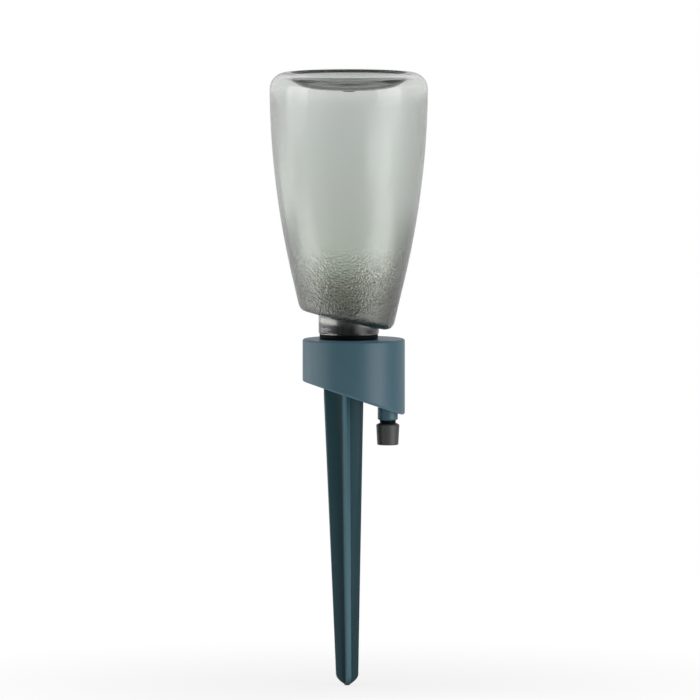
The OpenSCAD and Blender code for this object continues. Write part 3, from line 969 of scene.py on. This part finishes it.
@dataclass
class Spike:
    """The cross-shaped spike with round noses on its four wings, in metres and degrees."""

    seat_z: float = 156.5 * MM
    point_h: float = 6.5 * MM
    top_half: float = 10.75 * MM
    low_half: float = 6 * MM
    top_shift: float = -2.8 * MM
    low_shift: float = -0.9 * MM
    nose_r: float = 1.25 * MM
    nose_steps: int = 5
    nose_share: float = 0.85
    upright: float = 0.9
    corner: float = 60.0
    flat: float = 0.5
    sharp: float = 35.0
    merge_gap: float = 0.001 * MM

    def reach(self, place: Vector) -> float:
        """Tells how far out a place lies.

        Args:
            place: a point of the spike.

        Returns:
            The share of the wings' half width at its height.
        """
        share = place.z / self.seat_z
        shift = self.low_shift + (self.top_shift - self.low_shift) * share
        half = self.low_half + (self.top_half - self.low_half) * share
        return max(abs(place.x - shift), abs(place.y)) / half

    def build(self, frame: dict, wardrobe: Wardrobe) -> list:
        """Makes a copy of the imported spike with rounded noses.

        Args:
            wardrobe: the finishes.

        Returns:
            The pieces.
        """
        mesh = frame["nodes"]["spike"].data.copy()
        mesh.name = "rounded_spike"
        model = bmesh.new()
        model.from_mesh(mesh)
        bmesh.ops.remove_doubles(model, verts=model.verts, dist=self.merge_gap)
        bmesh.ops.dissolve_limit(model, angle_limit=math.radians(self.flat), verts=model.verts,
                                 edges=model.edges)
        noses = [edge for edge in model.edges
                 if edge.is_manifold and edge.calc_face_angle() > math.radians(self.corner)
                 and all(self.point_h < v.co.z < self.seat_z + self.point_h for v in edge.verts)
                 and all(self.reach(v.co) > self.nose_share for v in edge.verts)
                 and abs((edge.verts[0].co - edge.verts[1].co).normalized().z) > self.upright]
        LOG.info("spike: %d edges rounded", len(noses))
        bmesh.ops.bevel(model, geom=noses, offset=self.nose_r, segments=self.nose_steps, profile=0.5,
                        affect="EDGES", clamp_overlap=False)
        model.to_mesh(mesh)
        model.free()
        spike = new_object("rounded_spike", mesh)
        mesh.set_sharp_from_angle(angle=math.radians(self.sharp))
        mesh.materials.clear()
        mesh.materials.append(wardrobe.spike)
        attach(spike, "base")
        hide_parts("spike")
        return [spike]


@dataclass
class Studio:
    """A plain pale floor, soft lights and a far camera, in metres and degrees."""

    azimuth: float = -10.0
    elevation: float = 4.0
    distance: float = 8.0
    clip_end: float = 100.0
    sensor: float = 36.0
    photo_px: int = 700
    photo_scale: float = 0.537 * MM
    aim: tuple[float, float, float] = (0.00067, 0, 0.1807)
    high_turns: tuple[float, float] = (62.0, -82.0)
    low_turns: tuple[float, float] = (47.0, -112.0)
    strip_distance: float = 1.1
    strip_w: float = 0.8
    strip_split_z: float = 0.13
    strip_top_z: float = 0.85
    high_glows: tuple[float, float] = (1.45, 1.6)
    low_glows: tuple[float, float] = (3.9, 1.7)
    card_distance: float = 0.6
    card_size: tuple[float, float] = (0.45, 0.65)
    card_glow: float = 2.3
    card_z: float = 0.01
    card_tip: float = 0.001
    front_turn: float = 20.0
    front_z: float = 0.03
    front_distance: float = 0.15
    front_size: tuple[float, float] = (0.14, 0.05)
    front_glow: float = 2.2
    top_height: float = 1.5
    top_aim_z: float = 0.2
    top_size: tuple[float, float] = (0.8, 0.8)
    top_glow: float = 4.0
    fill: float = 0.2
    sheen: float = 0.12
    backdrop_sheen: float = 0.6
    backdrop_from: float = -0.1
    backdrop_to: float = 0.7
    table_sheen: float = 0.7
    table_from: float = 0.16 / 3
    table_to: float = 0.16
    horizon_from: float = 0.5
    horizon_to: float = 1.6
    ceiling: float = 0.06
    ceiling_low: float = 0.4
    ceiling_high: float = 0.9
    floor_glow: float = 0.8
    shadow_from: float = 0.03
    shadow_to: float = 0.3
    floor_reach: float = 60.0
    floor_paint: Colour = (0.8, 0.8, 0.8)

    def toward(self, azimuth: float, elevation: float) -> Vector:
        """Direction from the object to a place seen at an azimuth and an elevation."""
        turn, rise = math.radians(azimuth), math.radians(elevation)
        return Vector((math.sin(turn) * math.cos(rise), -math.cos(turn) * math.cos(rise), math.sin(rise)))

    def camera(self) -> None:
        """Sets the camera so that a pixel of the photograph covers its real length at the object."""
        data = bpy.data.cameras.new("camera")
        data.sensor_width = self.sensor
        data.lens = self.sensor * self.distance / (self.photo_px * self.photo_scale)
        data.clip_end = self.clip_end
        eye = bpy.data.objects.new("camera", data)
        back = self.toward(self.azimuth, self.elevation)
        eye.location = Vector(self.aim) + back * self.distance
        eye.rotation_euler = (-back).to_track_quat("-Z", "Y").to_euler()
        bpy.context.scene.collection.objects.link(eye)
        bpy.context.scene.camera = eye

    def lamp(self, name: str, place: Vector, aim: Vector, size: tuple[float, float],
             glow: float) -> bpy.types.Object:
        """Hangs one soft light.

        Args:
            name: the light's name.
            place: its middle.
            aim: what it faces.
            size: its width and its height.
            glow: how bright its face is, where 1 is white.

        Returns:
            The light.
        """
        data = bpy.data.lights.new(name, "AREA")
        data.shape = "RECTANGLE"
        data.size, data.size_y = size
        data.energy = glow * math.pi * size[0] * size[1]
        lamp = bpy.data.objects.new(name, data)
        lamp.location = place
        lamp.rotation_euler = (aim - place).to_track_quat("-Z", "Y").to_euler()
        lamp.visible_camera = False
        bpy.context.scene.collection.objects.link(lamp)
        return lamp

    def card(self, name: str, turn: float, distance: float, size: tuple[float, float], glow: float) -> None:
        """Lays one glowing card just over the floor, facing up.

        Args:
            name: the card's name.
            turn: where it lies, in degrees from the camera's side.
            distance: how far it lies from the object's axis.
            size: its width and its height.
            glow: how bright its face is, where 1 is white.
        """
        way = self.toward(self.azimuth + turn, 0)
        place = way * distance + Vector((0, 0, self.card_z))
        self.lamp(name, place, place + Vector((0, 0, 1)) - way * self.card_tip, size, glow)

    def lights(self) -> None:
        """Puts a high and a low light and a card on each side, a low light in front and one overhead."""
        for turns, low_z, high_z, glows, name in (
                (self.high_turns, self.strip_split_z, self.strip_top_z, self.high_glows, "high_light_"),
                (self.low_turns, 0.0, self.strip_split_z, self.low_glows, "low_light_")):
            for side, turn, glow in zip(("right", "left"), turns, glows):
                foot = self.toward(self.azimuth + turn, 0) * self.strip_distance
                level = Vector((0, 0, (low_z + high_z) / 2))
                self.lamp(name + side, foot + level, level, (self.strip_w, high_z - low_z), glow)
        for side, turn in zip(("right", "left"), self.high_turns):
            self.card("low_card_" + side, turn, self.card_distance, self.card_size, self.card_glow)
        way, level = self.toward(self.azimuth + self.front_turn, 0), Vector((0, 0, self.front_z))
        front = self.lamp("front_light", way * self.front_distance + level, level, self.front_size,
                          self.front_glow)
        front.visible_glossy = False
        front.visible_transmission = False
        top = self.lamp("top_light", Vector((0, 0, self.top_height)), Vector((0, 0, self.top_aim_z)),
                        self.top_size, self.top_glow)
        top.visible_transmission = False
        top.visible_glossy = False

    def world(self) -> None:
        """Makes a white surround with a dark ceiling, which shines most from behind the object."""
        world = bpy.data.worlds.new("surround")
        world.use_nodes = True
        tree = world.node_tree
        path = put(tree, "ShaderNodeLightPath").outputs
        way = put(tree, "ShaderNodeTexCoord").outputs["Generated"]
        rise = put(tree, "ShaderNodeSeparateXYZ", {0: way}).outputs["Z"]
        sheen = self.backdrop(tree, way)
        level = ranged(tree, rise, self.ceiling_low, self.ceiling_high, 1.0, self.ceiling, soft=True)
        dim = math_node(tree, "MULTIPLY", level, sheen)
        strength = pick(tree, path["Is Glossy Ray"], self.fill, dim)
        strength = pick(tree, path["Is Transmission Ray"], strength, level)
        strength = pick(tree, path["Is Camera Ray"], strength, 1.0)
        back = tree.nodes["Background"]
        back.inputs["Color"].default_value = (1, 1, 1, 1)
        tree.links.new(strength, back.inputs["Strength"])
        bpy.context.scene.world = world

    def backdrop(self, tree: Tree, way: Socket) -> Socket:
        """Makes the surround look brighter in a reflection behind the object than in front.

        Args:
            tree: the tree of the world or of the floor's material.
            way: direction from the object to what is reflected.

        Returns:
            The socket with the brightness.
        """
        away = tuple(-self.toward(self.azimuth, 0))
        behind = put(tree, "ShaderNodeVectorMath", {0: way, 1: away}, operation="DOT_PRODUCT")
        return ranged(tree, behind.outputs["Value"], self.backdrop_from, self.backdrop_to,
                      self.sheen, self.backdrop_sheen, soft=True)

    def floor(self) -> None:
        """Lays a pale floor that shows white and keeps a soft shadow near the object."""
        mesh = bpy.data.meshes.new("floor")
        reach = self.floor_reach
        mesh.from_pydata([(-reach, -reach, 0), (reach, -reach, 0), (reach, reach, 0), (-reach, reach, 0)],
                         [], [(0, 1, 2, 3)])
        floor = new_object("floor", mesh)
        material = bpy.data.materials.new("pale_floor")
        material.use_nodes = True
        tree = material.node_tree
        tree.nodes.remove(tree.nodes["Principled BSDF"])
        path = put(tree, "ShaderNodeLightPath").outputs
        place = put(tree, "ShaderNodeTexCoord").outputs["Object"]
        far = put(tree, "ShaderNodeVectorMath", {0: place}, operation="LENGTH").outputs["Value"]
        glow = ranged(tree, far, self.shadow_from, self.shadow_to, self.floor_glow, 1.0, soft=True)
        way = put(tree, "ShaderNodeVectorMath", {0: place}, operation="NORMALIZE").outputs["Vector"]
        horizon = ranged(tree, far, self.horizon_from, self.horizon_to, self.sheen,
                         self.backdrop(tree, way), soft=True)
        near = ranged(tree, far, self.table_from, self.table_to, self.table_sheen, horizon, soft=True)
        share = pick(tree, path["Is Glossy Ray"], 0.0, near)
        share = pick(tree, path["Is Transmission Ray"], share, glow)
        share = pick(tree, path["Is Camera Ray"], share, glow)
        paint = put(tree, "ShaderNodeBsdfDiffuse", {"Color": (*self.floor_paint, 1)})
        light = put(tree, "ShaderNodeEmission", {"Color": (1, 1, 1, 1), "Strength": 1.0})
        mix = put(tree, "ShaderNodeMixShader", {0: share, 1: paint.outputs[0], 2: light.outputs[0]})
        tree.links.new(mix.outputs[0], tree.nodes["Material Output"].inputs["Surface"])
        floor.data.materials.append(material)

    def build(self) -> None:
        """Sets up the camera, the lights, the surround and the floor."""
        self.camera()
        self.lights()
        self.world()
        self.floor()
        view = bpy.context.scene.view_settings
        view.view_transform = "Standard"


def main() -> None:
    """Builds the studio and every piece in order."""
    logging.basicConfig(level=logging.INFO, format="%(name)s: %(message)s")
    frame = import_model()
    Studio().build()
    wardrobe = Wardrobe()
    pieces = Bottle().build(wardrobe)
    pieces += Collar().build(frame, wardrobe)
    pieces += Spike().build(frame, wardrobe)


if __name__ == "__main__":
    main()
